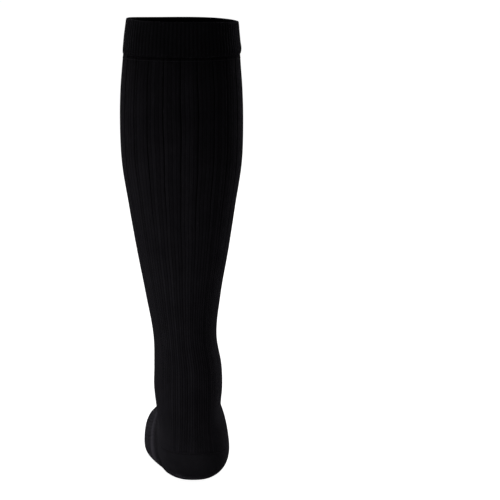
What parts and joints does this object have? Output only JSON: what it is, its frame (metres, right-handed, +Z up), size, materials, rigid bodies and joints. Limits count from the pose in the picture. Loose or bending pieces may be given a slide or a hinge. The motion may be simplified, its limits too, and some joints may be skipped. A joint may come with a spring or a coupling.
{
  "type": "compression stocking",
  "caption": "Knee-high ribbed compression stocking, filled out as on a left leg, hollow and open at the top, with a turned top band.",
  "frame": {"origin": "centre of the leg opening inside the top band, about 20 mm below its rim, where the wearer's leg holds the stocking up", "axes": "+Z up the leg out of the opening, +Y towards the toes, +X towards the wearer's other leg"},
  "size_m": [0.1166, 0.272, 0.4394],
  "materials": {
    "welt_knit": "matt black nylon and elastane knit, double, with fine upright ribs",
    "ribbed_knit": "matt black nylon and elastane knit in broad ribs of fine wales",
    "plain_knit": "matt black plain nylon and elastane knit"
  },
  "bodies": {
    "root": {"welt": "welt_knit", "leg_calf": "ribbed_knit", "leg_shin": "ribbed_knit", "leg_ankle": "ribbed_knit", "heel_pocket": "plain_knit", "foot": "ribbed_knit", "toe_cap": "plain_knit"}
  },
  "joints": []
}
